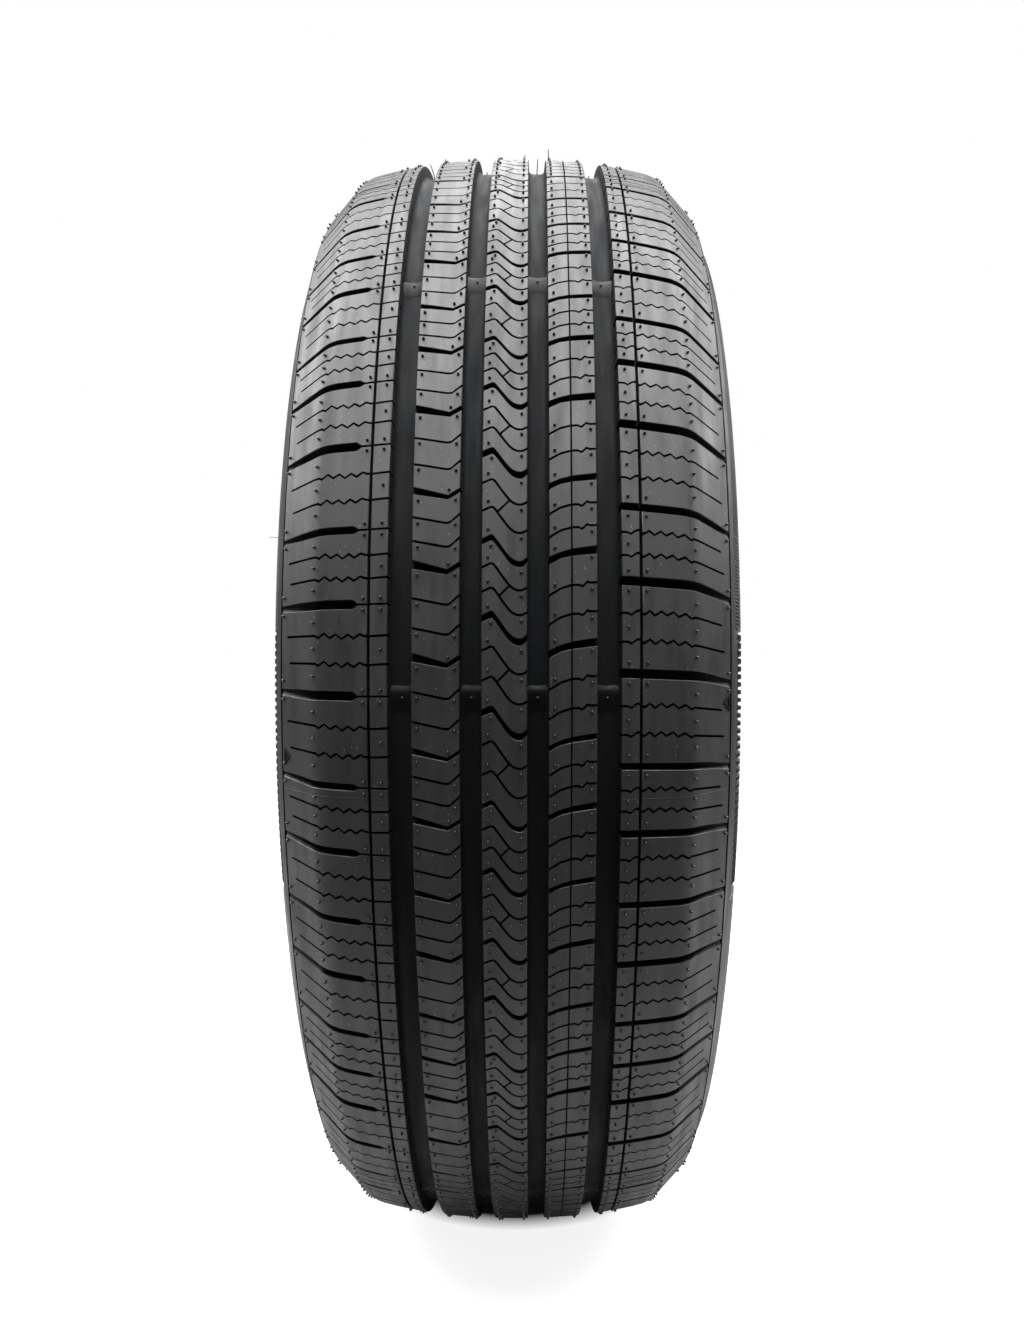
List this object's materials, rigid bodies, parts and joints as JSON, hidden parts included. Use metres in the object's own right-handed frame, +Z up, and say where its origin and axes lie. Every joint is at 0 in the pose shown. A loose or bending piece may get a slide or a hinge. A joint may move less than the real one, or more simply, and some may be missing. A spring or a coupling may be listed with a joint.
{
  "type": "car tyre",
  "caption": "Passenger car tyre with a ribbed touring tread, siped shoulder blocks and plain sidewalls, shown bare off the wheel.",
  "frame": {"origin": "centre of the tyre, on the axle line in the middle plane of the tread", "axes": "+Y along the axle towards one sidewall, +Z up, +X along the way the tyre rolls"},
  "size_m": [0.7017, 0.228, 0.7018],
  "materials": {
    "tyre": "matt moulded black rubber"
  },
  "bodies": {
    "root": {"tyre": "tyre"}
  },
  "joints": []
}
